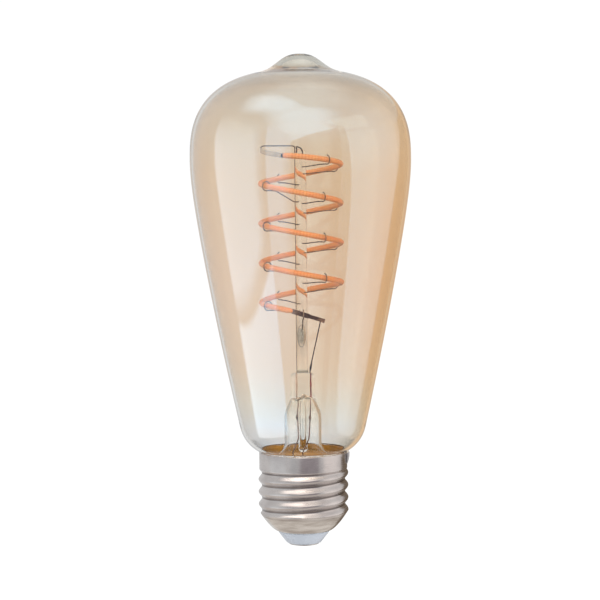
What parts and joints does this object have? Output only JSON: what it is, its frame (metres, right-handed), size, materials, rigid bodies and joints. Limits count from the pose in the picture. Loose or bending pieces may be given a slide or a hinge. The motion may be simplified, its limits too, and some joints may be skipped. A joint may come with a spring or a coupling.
{
  "type": "smart light bulb",
  "caption": "Straight-sided amber glass filament bulb with a pointed tip, a spiral LED filament on a glass stem and a nickel-plated screw cap that holds a wireless driver.",
  "frame": {"origin": "middle of the centre contact's outer face, on the bulb's axis", "axes": "+Z along the axis from the cap to the glass tip; -Y is the side the picture shows, +X is the picture's right"},
  "size_m": [0.064, 0.064, 0.1425],
  "materials": {
    "amber_glass": "glossy, thin amber film inside, clear towards the neck",
    "clear_glass": "glossy",
    "phosphor": "soft silicone with yellow-orange phosphor",
    "filament_chips": "matt strip with raised chips",
    "terminal_pale": "satin",
    "terminal_dark": "satin, heat-browned",
    "support_metal": "satin drawn wire",
    "hook_wire": "satin drawn wire",
    "nickel_wire": "satin drawn wire",
    "dumet": "copper-red oxide, glossy where the glass wets it",
    "copper_wire": "bright drawn wire",
    "cap_metal": "nickel-plated, brushed round the collar",
    "cement": "matt cured resin",
    "insulator": "semi-gloss moulding",
    "contact_metal": "nickel-plated, spun",
    "solder": "smooth frozen drop",
    "sleeve_film": "translucent film",
    "circuit_board": "solder mask",
    "chip_black": "moulded epoxy",
    "resistor_body": "lacquer",
    "capacitor_wrap": "shrink film",
    "ferrite": "sintered, with copper winding",
    "ceramic": "fired body with metal ends",
    "radio_board": "solder mask",
    "shield_metal": "pressed tinplate",
    "pin_metal": "plated"
  },
  "bodies": {
    "root": {"glass_envelope": "amber_glass", "stem_flare": "clear_glass", "exhaust_tube": "clear_glass", "glass_column": "clear_glass", "filament_jacket": "phosphor", "filament_strip": "filament_chips", "filament_top_terminal": "terminal_pale", "filament_bottom_terminal": "terminal_dark", "support_wire_01": "support_metal", "support_wire_02": "support_metal", "support_wire_03": "support_metal", "support_wire_04": "support_metal", "support_wire_05": "support_metal", "support_wire_06": "support_metal", "support_wire_07": "support_metal", "support_wire_08": "support_metal", "support_wire_09": "support_metal", "support_wire_10": "support_metal", "support_wire_11": "support_metal", "support_wire_12": "support_metal", "support_wire_13": "support_metal", "support_wire_14": "support_metal", "support_wire_15": "support_metal", "support_wire_16": "support_metal", "support_wire_17": "support_metal", "top_hook": "hook_wire", "long_lead": "nickel_wire", "short_lead": "nickel_wire", "dumet_left": "dumet", "dumet_right": "dumet", "outer_lead_left": "copper_wire", "outer_lead_right": "copper_wire", "screw_shell": "cap_metal", "basing_cement": "cement", "cap_insulator": "insulator", "centre_contact": "contact_metal", "centre_wire": "copper_wire", "side_lead": "nickel_wire", "side_solder": "solder", "insulating_sleeve": "sleeve_film", "driver_board": "circuit_board", "bridge_rectifier": "chip_black", "driver_chip": "chip_black", "fusible_resistor": "resistor_body", "bulk_capacitor": "capacitor_wrap", "inductor": "ferrite", "ceramic_capacitors": "ceramic", "wireless_module": "radio_board", "module_shield": "shield_metal", "module_pins": "pin_metal"}
  },
  "joints": []
}
